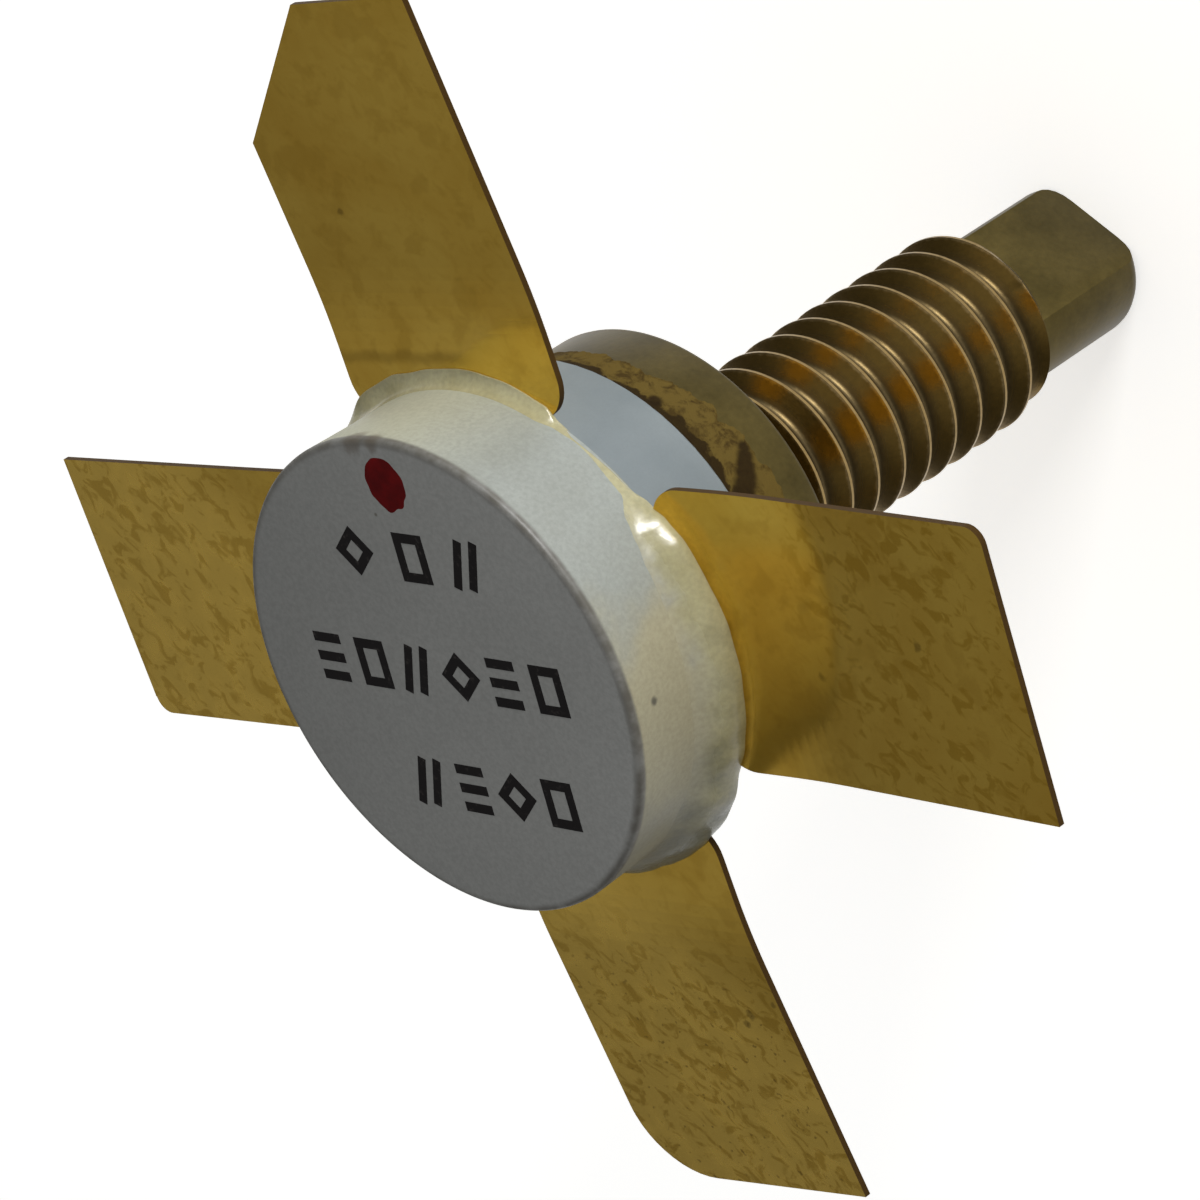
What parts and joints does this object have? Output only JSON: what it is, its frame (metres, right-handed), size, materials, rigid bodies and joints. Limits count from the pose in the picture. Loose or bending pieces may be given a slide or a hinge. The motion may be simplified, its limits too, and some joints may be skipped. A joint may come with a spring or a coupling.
{
  "type": "rf power transistor",
  "caption": "Stud-mounted radio-frequency power transistor: round ceramic cap, a cross of flat gold ribbon leads and a threaded stud with a wrench tang.",
  "frame": {"origin": "centre of the seating face, the underside of the flange", "axes": "+Z along the stud's axis towards the cap, +Y along the collector lead, +X along the right emitter lead"},
  "size_m": [0.0253, 0.0252, 0.0193],
  "materials": {
    "gold_plate": "gold plated copper, aged",
    "gold_leads": "bright gold plate with faint stains",
    "braze": "matt braze metal",
    "beryllia": "matt fired",
    "gold_pads": "gold plated film",
    "silicon": "polished",
    "gold_wire": "drawn gold",
    "epoxy": "cured cream epoxy",
    "alumina": "matt fired"
  },
  "bodies": {
    "root": {"stud": "gold_plate", "flange_braze": "braze", "ceramic_base": "beryllia", "collector_pad": "gold_pads", "base_pad": "gold_pads", "emitter_pad": "gold_pads", "collector_lead": "gold_leads", "base_lead": "gold_leads", "emitter_lead_right": "gold_leads", "emitter_lead_left": "gold_leads", "transistor_die": "silicon", "input_capacitor": "silicon", "base_wires": "gold_wire", "capacitor_wires": "gold_wire", "emitter_wires": "gold_wire", "epoxy_seal": "epoxy", "cap": "alumina"}
  },
  "joints": []
}
